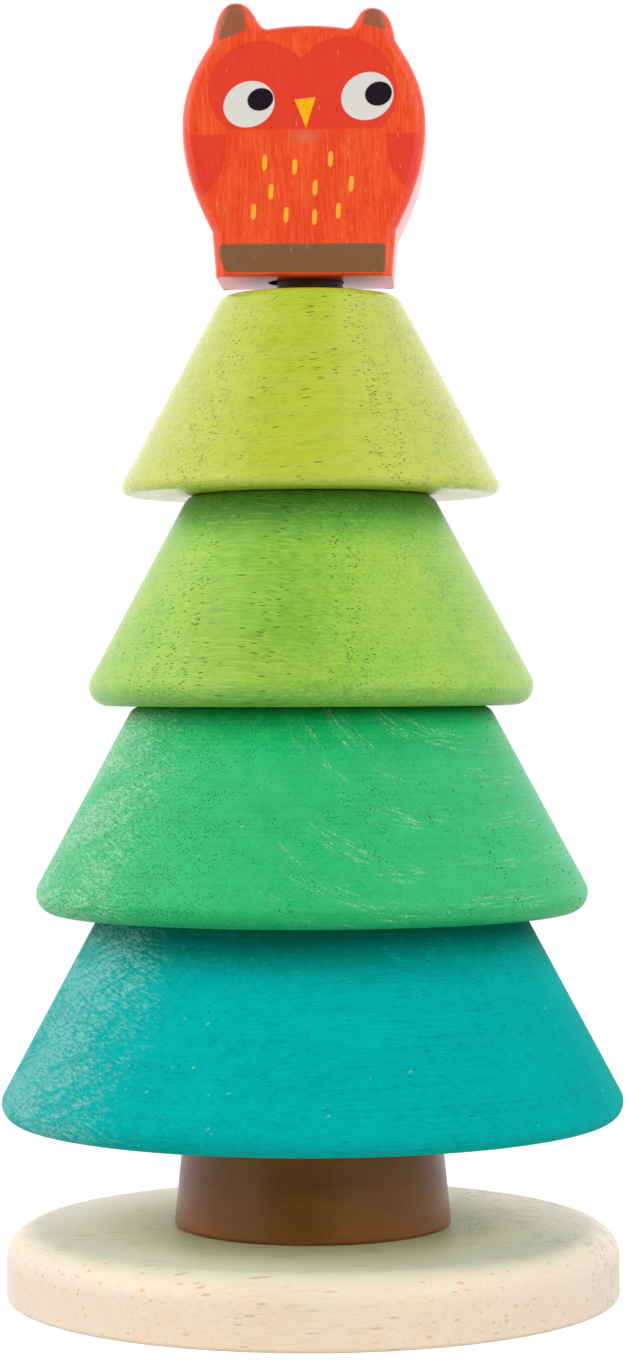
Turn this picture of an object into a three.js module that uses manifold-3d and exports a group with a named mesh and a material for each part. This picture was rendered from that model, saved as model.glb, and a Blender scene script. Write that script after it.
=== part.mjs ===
import * as THREE from "three";
import { mergeVertices } from "three/addons/utils/BufferGeometryUtils.js";
import Module from "manifold-3d";

const wasm = await Module();
wasm.setup();

// A wooden stacking tree: four conical rings and an owl drop over a peg that stands on a round base.
// Sizes are millimetres, +Z is up, and the origin is the middle of the base's underside.

// Clearances and fineness
const glueGap = 0.3; // left round each piece that is glued or screwed into another
const cutOverrun = 2; // how far a cutting shape runs past the face that it opens
const arcSteps = 2; // half the flat steps that make each round edge
const outlineSteps = 6; // flat steps along each curve of the owl's outline
const broadFacets = 56; // flats round the rings, the base and the trunk
const slimFacets = 24; // flats round the peg, the screw and the owl's socket

const base = {
  radius: 60,
  height: 13.7,
  topRound: 6,
  bottomRound: 1,
  pegSeatDepth: 7,
};

const trunk = {
  bottomRadius: 27.2,
  topRadius: 25.1,
  height: 21,
  edgeRound: 0.8,
};

const peg = {
  radius: 6.5,
  tipRound: 2.5,
  footChamfer: 0.7,
  pilotSpare: 3, // drilled depth left beyond the screw's point
};

// A countersunk wood screw, driven up through the base into the foot of the peg
const screw = {
  headRadius: 3.9,
  headRim: 0.4,
  headTaper: 1.9,
  headSink: 0.8,
  shankRadius: 2,
  length: 30,
  pointLength: 4,
  slotReach: 2.1, // from the axis to the end of each arm of the cross recess
  slotWidth: 0.9,
  slotDepth: 1.5,
};

// What all four rings share. A ring's bottomRadius is where its slope would meet its underside
// if the rim were sharp.
const ring = {
  slopeDegrees: 28.25, // from upright
  topRound: 2.9,
  boreRadius: 7.8,
  boreChamfer: 1,
};

const tealRing = { bottomRadius: 63.2, height: 40.4, bottomRound: 3.5 };
const greenRing = { bottomRadius: 56.6, height: 40.4, bottomRound: 3.8 };
const leafRing = { bottomRadius: 46.1, height: 41.2, bottomRound: 3.8 };
const limeRing = { bottomRadius: 38.2, height: 39.1, bottomRound: 1.7 };

// From the lowest ring to the highest
const rings = [
  { name: "teal_ring", sizes: tealRing, colour: "#12a7a4" },
  { name: "green_ring", sizes: greenRing, colour: "#35b675" },
  { name: "leaf_ring", sizes: leafRing, colour: "#94c54b" },
  { name: "lime_ring", sizes: limeRing, colour: "#bac948" },
];

// The owl is cut from a board. Widths are across the whole piece, heights run up from its underside,
// and the two ears differ a little, as hand-finished ones do.
const owl = {
  thickness: 24,
  edgeRound: 2.2,
  lift: 2.7, // between the highest ring and the owl's underside
  sideShift: 0.7, // the owl hangs this far to the left within its socket's play
  socketRadius: 7.5,
  socketDepth: 20,
  socketChamfer: 0.5,
  footWidth: 34.2,
  kneeWidth: 35.6,
  kneeHeight: 8.8,
  bodyWidth: 47.1,
  bodyHeight: 29.3, // where the body is widest
  browWidth: 35.6, // across the outer roots of the ears
  browHeight: 45.4,
  crownHeight: 48.6, // the middle of the head
  crownDip: 0.6, // how far the head falls from there to the inner roots of the ears
};
const ears = {
  left: { rootX: -6.9, tipX: -13.2, tipHeight: 53.1, bulgeShare: 0.75 },
  right: { rootX: 8.4, tipX: 13.2, tipHeight: 51.9, bulgeShare: 0.83 },
};

// The handles of each curve of the owl's outline, as shares of the way across and up it
const flankShares = [[0.48, 0.27], [1, 0.57]]; // from the knee to the widest place
const cheekShares = [[0, 0.42], [0.5, 0.74]]; // from there to the outer root of the ear
const earInsideShares = [[0.64, 0], [0.6, 1]]; // from the tip of the ear to its inner root
const earSideShares = (ear) => [[ear.bulgeShare, 0], [0.92, 0.74]]; // from the tip to the outer root

// Places that follow from the sizes
const trunkBottom = base.height;
const stackBottom = trunkBottom + trunk.height;
const stackTop = rings.reduce((height, { sizes }) => height + sizes.height, stackBottom);
const pegFoot = base.height - base.pegSeatDepth;
const owlBottom = stackTop + owl.lift;
const pegTip = owlBottom + owl.socketDepth;
const pilotTop = screw.headSink + screw.length + peg.pilotSpare;
const sawWaste = owl.edgeRound + cutOverrun; // the board left under the owl until it is sawn flat

// Turns a closed profile, drawn in radius and height, about the Z axis.
function turned(profile, facets) {
  return new THREE.LatheGeometry(profile.getPoints(arcSteps), facets).rotateX(Math.PI / 2);
}

// Makes a geometry a solid that can be joined and cut.
function solidOf(geometry) {
  const bare = geometry.clone().deleteAttribute("normal").deleteAttribute("uv");
  const merged = mergeVertices(bare.index ? bare.toNonIndexed() : bare);
  return new wasm.Manifold(
    new wasm.Mesh({
      numProp: 3,
      vertProperties: merged.attributes.position.array,
      triVerts: new Uint32Array(merged.index.array),
    }),
  );
}

// Makes a solid a geometry again.
function geometryOf(solid) {
  const mesh = solid.getMesh();
  return new THREE.BufferGeometry()
    .setAttribute("position", new THREE.BufferAttribute(mesh.vertProperties, mesh.numProp))
    .setIndex(new THREE.BufferAttribute(mesh.triVerts, 1))
    .toNonIndexed();
}

function cut(geometry, tools) {
  return geometryOf(tools.reduce((left, tool) => left.subtract(solidOf(tool)), solidOf(geometry)));
}

// The base disc: a well rounded top edge, a seat for the peg's foot, and a countersunk screw hole.
function baseGeometry() {
  const seatRadius = peg.radius + glueGap;
  const holeRadius = screw.shankRadius + glueGap;
  const mouthRadius = screw.headRadius + glueGap;
  const sinkTop = screw.headSink + screw.headRim + screw.headTaper;
  const profile = new THREE.Path();
  profile.moveTo(mouthRadius, 0);
  profile.lineTo(base.radius - base.bottomRound, 0);
  profile.absarc(base.radius - base.bottomRound, base.bottomRound, base.bottomRound, -Math.PI / 2, 0);
  profile.absarc(base.radius - base.topRound, base.height - base.topRound, base.topRound, 0, Math.PI / 2);
  profile.lineTo(seatRadius, base.height);
  profile.lineTo(seatRadius, pegFoot);
  profile.lineTo(holeRadius, pegFoot);
  profile.lineTo(holeRadius, sinkTop);
  profile.lineTo(mouthRadius, screw.headSink + screw.headRim);
  profile.lineTo(mouthRadius, 0);
  return turned(profile, broadFacets);
}

// The trunk: a short plug, a little narrower at its top, bored for the peg.
function trunkGeometry() {
  const boreRadius = peg.radius + glueGap;
  const round = trunk.edgeRound;
  const profile = new THREE.Path();
  profile.moveTo(boreRadius, trunkBottom);
  profile.lineTo(trunk.bottomRadius - round, trunkBottom);
  profile.absarc(trunk.bottomRadius - round, trunkBottom + round, round, -Math.PI / 2, 0);
  profile.absarc(trunk.topRadius - round, stackBottom - round, round, 0, Math.PI / 2);
  profile.lineTo(boreRadius, stackBottom);
  profile.lineTo(boreRadius, trunkBottom);
  return turned(profile, broadFacets);
}

// The peg: a dowel from its seat in the base to the end of the owl's socket, drilled for the screw.
function pegGeometry() {
  const pilotRadius = screw.shankRadius + glueGap;
  const profile = new THREE.Path();
  profile.moveTo(0, pilotTop);
  profile.lineTo(pilotRadius, pilotTop - pilotRadius);
  profile.lineTo(pilotRadius, pegFoot);
  profile.lineTo(peg.radius - peg.footChamfer, pegFoot);
  profile.lineTo(peg.radius, pegFoot + peg.footChamfer);
  profile.absarc(peg.radius - peg.tipRound, pegTip - peg.tipRound, peg.tipRound, 0, Math.PI / 2);
  profile.lineTo(0, pegTip);
  return turned(profile, slimFacets);
}

// The screw, with a cross recess in its head. Its thread is left plain.
function screwGeometry() {
  const head = screw.headSink;
  const taperFoot = head + screw.headRim;
  const tip = head + screw.length;
  const profile = new THREE.Path();
  profile.moveTo(0, head);
  profile.lineTo(screw.headRadius, head);
  profile.lineTo(screw.headRadius, taperFoot);
  profile.lineTo(screw.shankRadius, taperFoot + screw.headTaper);
  profile.lineTo(screw.shankRadius, tip - screw.pointLength);
  profile.lineTo(0, tip);
  const slot = new THREE.BoxGeometry(2 * screw.slotReach, screw.slotWidth, screw.slotDepth + cutOverrun);
  slot.translate(0, 0, head + (screw.slotDepth - cutOverrun) / 2);
  return cut(turned(profile, slimFacets), [slot, slot.clone().rotateZ(Math.PI / 2)]);
}

// A ring: a bored cone with a rounded rim below and a softer one above.
function ringGeometry(sizes, bottom) {
  const slope = THREE.MathUtils.degToRad(ring.slopeDegrees);
  const top = bottom + sizes.height;
  const topRadius = sizes.bottomRadius - sizes.height * Math.tan(slope);
  // A round that touches the slope and the flat stands back from their sharp corner by these shares.
  const rimShare = (1 + Math.sin(slope)) / Math.cos(slope);
  const shoulderShare = (1 - Math.sin(slope)) / Math.cos(slope);
  const rim = sizes.bottomRadius - sizes.bottomRound * rimShare;
  const shoulder = topRadius - ring.topRound * shoulderShare;
  const mouth = ring.boreRadius + ring.boreChamfer;
  const profile = new THREE.Path();
  profile.moveTo(mouth, bottom);
  profile.lineTo(rim, bottom);
  profile.absarc(rim, bottom + sizes.bottomRound, sizes.bottomRound, -Math.PI / 2, slope);
  profile.absarc(shoulder, top - ring.topRound, ring.topRound, slope, Math.PI / 2);
  profile.lineTo(mouth, top);
  profile.lineTo(ring.boreRadius, top - ring.boreChamfer);
  profile.lineTo(ring.boreRadius, bottom + ring.boreChamfer);
  profile.lineTo(mouth, bottom);
  return turned(profile, broadFacets);
}

// One curve of the outline, from where it has got to, to a point. The handles are shares of the way there.
function bend(outline, end, handleShares) {
  const start = outline.currentPoint.clone();
  const handles = handleShares.map(([across, up]) =>
    start.clone().add(new THREE.Vector2(across, up).multiply(end.clone().sub(start))),
  );
  outline.bezierCurveTo(handles[0].x, handles[0].y, handles[1].x, handles[1].y, end.x, end.y);
}

// The same curve, run the other way.
function backwards(handleShares) {
  return handleShares.map(([across, up]) => [1 - across, 1 - up]).reverse();
}

// The owl's outline, up its right side, over the ears and down its left side.
function owlOutline() {
  const rootHeight = owl.crownHeight - owl.crownDip;
  const at = (x, height) => new THREE.Vector2(x, height);
  const outline = new THREE.Shape();
  outline.moveTo(-owl.footWidth / 2, -sawWaste);
  outline.lineTo(owl.footWidth / 2, -sawWaste);
  outline.lineTo(owl.footWidth / 2, 0);
  outline.lineTo(owl.kneeWidth / 2, owl.kneeHeight);
  bend(outline, at(owl.bodyWidth / 2, owl.bodyHeight), flankShares);
  bend(outline, at(owl.browWidth / 2, owl.browHeight), cheekShares);
  bend(outline, at(ears.right.tipX, ears.right.tipHeight), backwards(earSideShares(ears.right)));
  bend(outline, at(ears.right.rootX, rootHeight), earInsideShares);
  outline.quadraticCurveTo(
    (ears.left.rootX + ears.right.rootX) / 2,
    owl.crownHeight + owl.crownDip,
    ears.left.rootX,
    rootHeight,
  );
  bend(outline, at(ears.left.tipX, ears.left.tipHeight), backwards(earInsideShares));
  bend(outline, at(-owl.browWidth / 2, owl.browHeight), earSideShares(ears.left));
  bend(outline, at(-owl.bodyWidth / 2, owl.bodyHeight), backwards(cheekShares));
  bend(outline, at(-owl.kneeWidth / 2, owl.kneeHeight), backwards(flankShares));
  outline.lineTo(-owl.footWidth / 2, 0);
  return outline;
}

// The owl: its outline cut from the board, the edges rounded over, the underside sawn flat, and the
// socket for the peg drilled up into it.
function owlGeometry() {
  const board = new THREE.ExtrudeGeometry(owlOutline(), {
    depth: owl.thickness - 2 * owl.edgeRound,
    bevelThickness: owl.edgeRound,
    bevelSize: owl.edgeRound,
    bevelOffset: -owl.edgeRound,
    bevelSegments: 2 * arcSteps,
    curveSegments: outlineSteps,
  });
  board.translate(0, 0, owl.edgeRound - owl.thickness / 2).rotateX(Math.PI / 2);
  const waste = new THREE.BoxGeometry(owl.bodyWidth, owl.thickness + cutOverrun, sawWaste + cutOverrun);
  waste.translate(0, 0, -(sawWaste + cutOverrun) / 2);
  const drill = new THREE.Path();
  drill.moveTo(0, -cutOverrun);
  drill.lineTo(owl.socketRadius + owl.socketChamfer + cutOverrun, -cutOverrun);
  drill.lineTo(owl.socketRadius, owl.socketChamfer);
  drill.lineTo(owl.socketRadius, owl.socketDepth);
  drill.lineTo(0, owl.socketDepth);
  return cut(board, [waste, turned(drill, slimFacets)]);
}

function piece(name, geometry, colour, roughness, metalness = 0) {
  const material = new THREE.MeshStandardMaterial({ color: colour, roughness, metalness });
  const mesh = new THREE.Mesh(geometry, material);
  mesh.name = name;
  return mesh;
}

const tree = new THREE.Group();
tree.add(
  piece("base_disc", baseGeometry(), "#e8d5b9", 0.6),
  piece("trunk_block", trunkGeometry(), "#6b4829", 0.45),
  piece("centre_peg", pegGeometry(), "#5a3c24", 0.5),
  piece("peg_screw", screwGeometry(), "#a3a39e", 0.35, 1),
);
rings.reduce((bottom, { name, sizes, colour }) => {
  tree.add(piece(name, ringGeometry(sizes, bottom), colour, 0.5));
  return bottom + sizes.height;
}, stackBottom);
const owlPiece = piece("owl_topper", owlGeometry(), "#e74f32", 0.35);
owlPiece.position.set(-owl.sideShift, 0, owlBottom);
tree.add(owlPiece);

export default tree;
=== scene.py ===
"""The finished looks of a wooden stacking tree: stained rings and a painted owl that drop over a peg."""

import logging
import math
from dataclasses import dataclass, field
from enum import Enum
from functools import reduce
from typing import Any

import bmesh
import bpy
from bmesh.types import BMEdge, BMesh, BMFace, BMVert
from bpy.types import Material, NodeSocket
from mathutils import Matrix, Vector
from mathutils.geometry import interpolate_bezier


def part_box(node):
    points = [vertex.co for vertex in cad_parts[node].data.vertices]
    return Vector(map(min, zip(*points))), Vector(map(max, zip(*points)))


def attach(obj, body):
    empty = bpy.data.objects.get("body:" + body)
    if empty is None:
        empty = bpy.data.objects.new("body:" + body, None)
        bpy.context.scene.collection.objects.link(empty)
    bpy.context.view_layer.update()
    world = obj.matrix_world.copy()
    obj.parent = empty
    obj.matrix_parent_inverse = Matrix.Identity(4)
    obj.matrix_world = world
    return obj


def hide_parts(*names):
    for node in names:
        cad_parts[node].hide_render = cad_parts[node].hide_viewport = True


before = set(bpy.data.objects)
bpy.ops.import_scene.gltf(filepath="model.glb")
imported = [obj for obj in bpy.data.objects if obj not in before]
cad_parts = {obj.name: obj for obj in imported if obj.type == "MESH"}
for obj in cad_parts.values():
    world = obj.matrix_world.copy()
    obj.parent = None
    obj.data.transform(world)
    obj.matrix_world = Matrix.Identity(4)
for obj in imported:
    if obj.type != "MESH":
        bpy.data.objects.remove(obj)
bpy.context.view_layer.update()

log = logging.getLogger("stacking_tree")

MM = 0.001  # one millimetre in the scene's metres
PHOTO_HEIGHT = 1362
FULL_TURN = 2 * math.pi
WHITE = (1.0, 1.0, 1.0, 1.0)

Pair = tuple[float, float]
Triple = tuple[float, float, float]


def linear(code: str) -> tuple[float, float, float, float]:
    """Turns a colour as it looks on a screen into the numbers that shaders take.

    Args:
        code: The colour as a hex code, such as "#e74f32".

    Returns:
        Red, green, blue and full cover, in linear light.
    """
    channels = [int(code[place:place + 2], 16) / 255 for place in (1, 3, 5)]
    light = [c / 12.92 if c <= 0.04045 else ((c + 0.055) / 1.055) ** 2.4 for c in channels]
    return light[0], light[1], light[2], 1.0


class Value:
    """A number that varies over a surface, with the operators of ordinary maths."""

    def __init__(self, recipe: "Recipe", socket: NodeSocket) -> None:
        """Wraps a socket of the recipe's node tree."""
        self.recipe = recipe
        self.socket = socket

    def maths(self, operation: str, first: "Value | float", second: "Value | float" = 0.0) -> "Value":
        """Adds a Math node.

        Args:
            operation: The Math node's operation.
            first: Its first number.
            second: Its second number, where it takes one.

        Returns:
            The node's result.
        """
        made = self.recipe.node(
            "ShaderNodeMath", {"operation": operation}, {"Value": first, "Value_001": second}
        )
        return Value(self.recipe, made.outputs["Value"])

    def __add__(self, other: "Value | float") -> "Value":
        """This number plus another."""
        return self.maths("ADD", self, other)

    __radd__ = __add__

    def __sub__(self, other: "Value | float") -> "Value":
        """This number less another."""
        return self.maths("SUBTRACT", self, other)

    def __rsub__(self, other: float) -> "Value":
        """A plain number less this one."""
        return self.maths("SUBTRACT", other, self)

    def __mul__(self, other: "Value | float") -> "Value":
        """This number times another."""
        return self.maths("MULTIPLY", self, other)

    __rmul__ = __mul__

    def __truediv__(self, other: "Value | float") -> "Value":
        """This number shared by another."""
        return self.maths("DIVIDE", self, other)

    def most(self, other: "Value | float") -> "Value":
        """The larger of two numbers."""
        return self.maths("MAXIMUM", self, other)

    def size(self) -> "Value":
        """The number without its sign."""
        return self.maths("ABSOLUTE", self)

    def wave(self) -> "Value":
        """The number's sine."""
        return self.maths("SINE", self)

    def bearing(self, other: "Value") -> "Value":
        """The angle of the point this far up and another number across."""
        return self.maths("ARCTAN2", self, other)

    def hypot(self, other: "Value") -> "Value":
        """The length of a step this far one way and another number square to it."""
        return self.maths("SQRT", self * self + other * other)

    def swing(self) -> "Value":
        """How far a number that varies about 0.5 lies above it."""
        return self - 0.5

    def near(self, middle: float, half_width: float) -> "Value":
        """1 about a middle, easing to 0 at a half width from it."""
        return (self - middle).size().between(half_width, half_width * 0.3)

    def between(self, start: float, end: float) -> "Value":
        """Eases from 0 where the number is start to 1 where it is end.

        Args:
            start: The number that gives 0.
            end: The number that gives 1, which may be the smaller one.

        Returns:
            The eased share.
        """
        made = self.recipe.node(
            "ShaderNodeMapRange",
            {"interpolation_type": "SMOOTHSTEP"},
            {"Value": self, "From Min": start, "From Max": end},
        )
        return Value(self.recipe, made.outputs["Result"])


class Recipe:
    """Builds the node tree of one finish."""

    def __init__(self, owner: "Material | bpy.types.World | bpy.types.Light") -> None:
        """Empties the owner's node tree and starts it afresh."""
        owner.use_nodes = True
        self.tree = owner.node_tree
        self.tree.nodes.clear()

    def node(
        self,
        kind: str,
        settings: dict[str, Any] | None = None,
        inputs: dict[str, Any] | None = None,
    ) -> bpy.types.Node:
        """Adds a node of any type.

        Args:
            kind: The node's type.
            settings: Its own settings, which are set first.
            inputs: A plain value, a Value or a socket for each named input.

        Returns:
            The node.
        """
        made = self.tree.nodes.new(kind)
        for name, setting in (settings or {}).items():
            setattr(made, name, setting)
        for name, value in (inputs or {}).items():
            socket = next(s for s in made.inputs if name in (s.identifier, s.name))
            source = value.socket if isinstance(value, Value) else value
            if isinstance(source, NodeSocket):
                self.tree.links.new(source, socket)
            else:
                socket.default_value = source
        return made

    def mix(self, share: "Value | float", under: Any, over: Any) -> NodeSocket:
        """Lays one colour over another.

        Args:
            share: How much of the upper colour shows.
            under: The lower colour.
            over: The upper colour.

        Returns:
            The blended colour.
        """
        made = self.node(
            "ShaderNodeMix",
            {"data_type": "RGBA"},
            {"Factor_Float": share, "A_Color": under, "B_Color": over},
        )
        return next(s for s in made.outputs if s.identifier == "Result_Color")

    def point(self, turn: Triple = (0, 0, 0), shift: Triple = (0, 0, 0)) -> NodeSocket:
        """The place of a point on the piece, in millimetres.

        Args:
            turn: How far the place is turned about each axis, in degrees.
            shift: How far it is shifted after that, in millimetres.

        Returns:
            The place.
        """
        here = self.node("ShaderNodeTexCoord").outputs["Object"]
        angles = tuple(math.radians(t) for t in turn)
        made = self.node(
            "ShaderNodeMapping",
            {"vector_type": "POINT"},
            {"Vector": here, "Location": shift, "Rotation": angles, "Scale": (1 / MM,) * 3},
        )
        return made.outputs["Vector"]

    def axes(self, place: NodeSocket) -> tuple[Value, Value, Value]:
        """The three numbers of a place."""
        parts = self.node("ShaderNodeSeparateXYZ", inputs={"Vector": place}).outputs
        return Value(self, parts["X"]), Value(self, parts["Y"]), Value(self, parts["Z"])

    def stretched(self, place: NodeSocket, spans: Triple) -> NodeSocket:
        """The place counted in steps of a given span along each axis."""
        scales = tuple(1 / step for step in spans)
        return self.node("ShaderNodeMapping", inputs={"Vector": place, "Scale": scales}).outputs["Vector"]

    def noise(
        self, place: NodeSocket, spans: Triple, detail: float = 2.0, roughness: float = 0.5
    ) -> Value:
        """Soft noise about 0.5.

        Args:
            place: Where on the piece, in millimetres.
            spans: The size of its blotches along each axis, in millimetres.
            detail: How many finer layers it has.
            roughness: How strong the finer layers are.

        Returns:
            The noise.
        """
        made = self.node(
            "ShaderNodeTexNoise",
            {"noise_dimensions": "3D"},
            {"Vector": self.stretched(place, spans), "Scale": 1.0, "Detail": detail, "Roughness": roughness},
        )
        return Value(self, made.outputs["Fac"])

    def specks(
        self, place: NodeSocket, spans: Triple, reach: float, share: "Value | float"
    ) -> Value:
        """Scattered specks, stretched as their spans are.

        Args:
            place: Where on the piece, in millimetres.
            spans: The mean distance between specks along each axis, in millimetres.
            reach: A speck's half length as a share of that distance.
            share: The share of the places that hold a speck.

        Returns:
            1 on a speck and 0 elsewhere.
        """
        cells = self.node(
            "ShaderNodeTexVoronoi",
            {"feature": "F1", "voronoi_dimensions": "3D"},
            {"Vector": self.stretched(place, spans), "Scale": 1.0, "Randomness": 1.0},
        )
        draws = self.node("ShaderNodeSeparateColor", inputs={"Color": cells.outputs["Color"]}).outputs
        shown = (Value(self, draws["Red"]) + share).between(0.97, 1.03)
        growth = Value(self, draws["Green"]) * 0.6 + 0.55
        return (Value(self, cells.outputs["Distance"]) / growth).between(reach, reach * 0.7) * shown

    def finish(self, shader: NodeSocket, kind: str = "ShaderNodeOutputMaterial") -> None:
        """Ends the tree with its output."""
        self.node(kind, inputs={"Surface": shader})

    def coated(
        self, tint: "Tint", roughness: Value, relief: Value, relief_depth: float, **others: "Value | float"
    ) -> None:
        """Ends the tree with a coated surface.

        Args:
            tint: Its colour.
            roughness: How rough it is.
            relief: The height of its small relief, from 0 to 1.
            relief_depth: How deep that relief is, in millimetres.
            others: Other inputs of the shader, by name, with underscores for spaces.
        """
        bump = self.node("ShaderNodeBump", inputs={"Height": relief, "Distance": relief_depth * MM})
        inputs = {"Base Color": tint.colour, "Roughness": roughness, "Normal": bump.outputs["Normal"]}
        inputs.update({name.replace("_", " "): value for name, value in others.items()})
        self.finish(self.node("ShaderNodeBsdfPrincipled", inputs=inputs).outputs["BSDF"])


class Tint:
    """A colour that is built up in layers."""

    def __init__(self, recipe: Recipe, ground: str) -> None:
        """Starts from one plain colour."""
        self.recipe = recipe
        self.colour: Any = linear(ground)

    def lay(self, share: "Value | float", code: str) -> None:
        """Lays a colour over what is there.

        Args:
            share: How much of the new colour shows.
            code: The new colour's hex code.
        """
        self.colour = self.recipe.mix(share, self.colour, linear(code))


@dataclass(frozen=True)
class Spot:
    """A point of a turned piece, in millimetres."""

    wood: NodeSocket  # its place in the wood, with X along the grain
    upright: NodeSocket  # its place on the piece as it stands
    right: Value  # how far to the right of the piece's axis it lies
    back: Value  # how far behind the axis
    height: Value
    reach: Value  # how far from the axis

    def side(self) -> Value:
        """From -1 at the left of the piece to 1 at its right."""
        return self.right / self.reach


@dataclass(frozen=True)
class Grain:
    """How a piece lies in the wood that it was cut from, in millimetres and degrees."""

    turn: float = 0.0  # the run of the grain, turned about the upright axis from left and right
    lean: float = 0.0  # how far the grain dips to the right
    pith: Pair = (70.0, -60.0)  # the heart of the tree, across the grain
    growth: float = 5.0  # the width of a year's growth
    seed: float = 0.0  # how far along the board the piece was cut
    wander: float = 5.0  # how far the growth rings stray from true circles

    def place(self, recipe: Recipe) -> NodeSocket:
        """The place on the piece, with X along the grain."""
        return recipe.point((0, self.lean, -self.turn), (self.seed, self.seed / 3, self.seed / 7))

    def spot(self, recipe: Recipe) -> Spot:
        """A point of a turned piece that was cut with this grain."""
        upright = recipe.point()
        right, back, height = recipe.axes(upright)
        return Spot(self.place(recipe), upright, right, back, height, right.hypot(back))

    def from_heart(self, recipe: Recipe, place: NodeSocket) -> tuple[Value, Value, Value]:
        """How far along, aside and above the heart of the tree a place lies."""
        along, across, up = recipe.axes(place)
        return along, across - (self.pith[0] + self.seed / 3), up - (self.pith[1] + self.seed / 7)

    def bands(self, recipe: Recipe, place: NodeSocket) -> Value:
        """Swings from 0 to 1 and back with each year's growth, along rings that are not quite round.

        Args:
            recipe: The finish's node tree.
            place: The place on the piece, with X along the grain.

        Returns:
            The share, from 0 to 1.
        """
        _, aside, above = self.from_heart(recipe, place)
        astray = recipe.noise(place, (45, 14, 14), 2).swing() * self.wander
        years = (aside.hypot(above) + astray) / self.growth
        return (years * FULL_TURN).wave() * 0.5 + 0.5

    def rolled(self, recipe: Recipe, place: NodeSocket) -> NodeSocket:
        """The place with X along the growth rings, Y from the heart outwards and Z along the grain.

        Args:
            recipe: The finish's node tree.
            place: The place on the piece, with X along the grain.

        Returns:
            The place.
        """
        along, aside, above = self.from_heart(recipe, place)
        reach = aside.hypot(above)
        made = recipe.node(
            "ShaderNodeCombineXYZ", inputs={"X": above.bearing(aside) * reach, "Y": reach, "Z": along}
        )
        return made.outputs["Vector"]


class Sheen(Enum):
    """How a clear coat leaves the wood: how strongly it mirrors and how rough it is."""

    DULL = (0.02, 0.65)
    SOFT = (0.2, 0.46)
    SATIN = (0.38, 0.4)
    BRIGHT = (0.58, 0.28)


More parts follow.
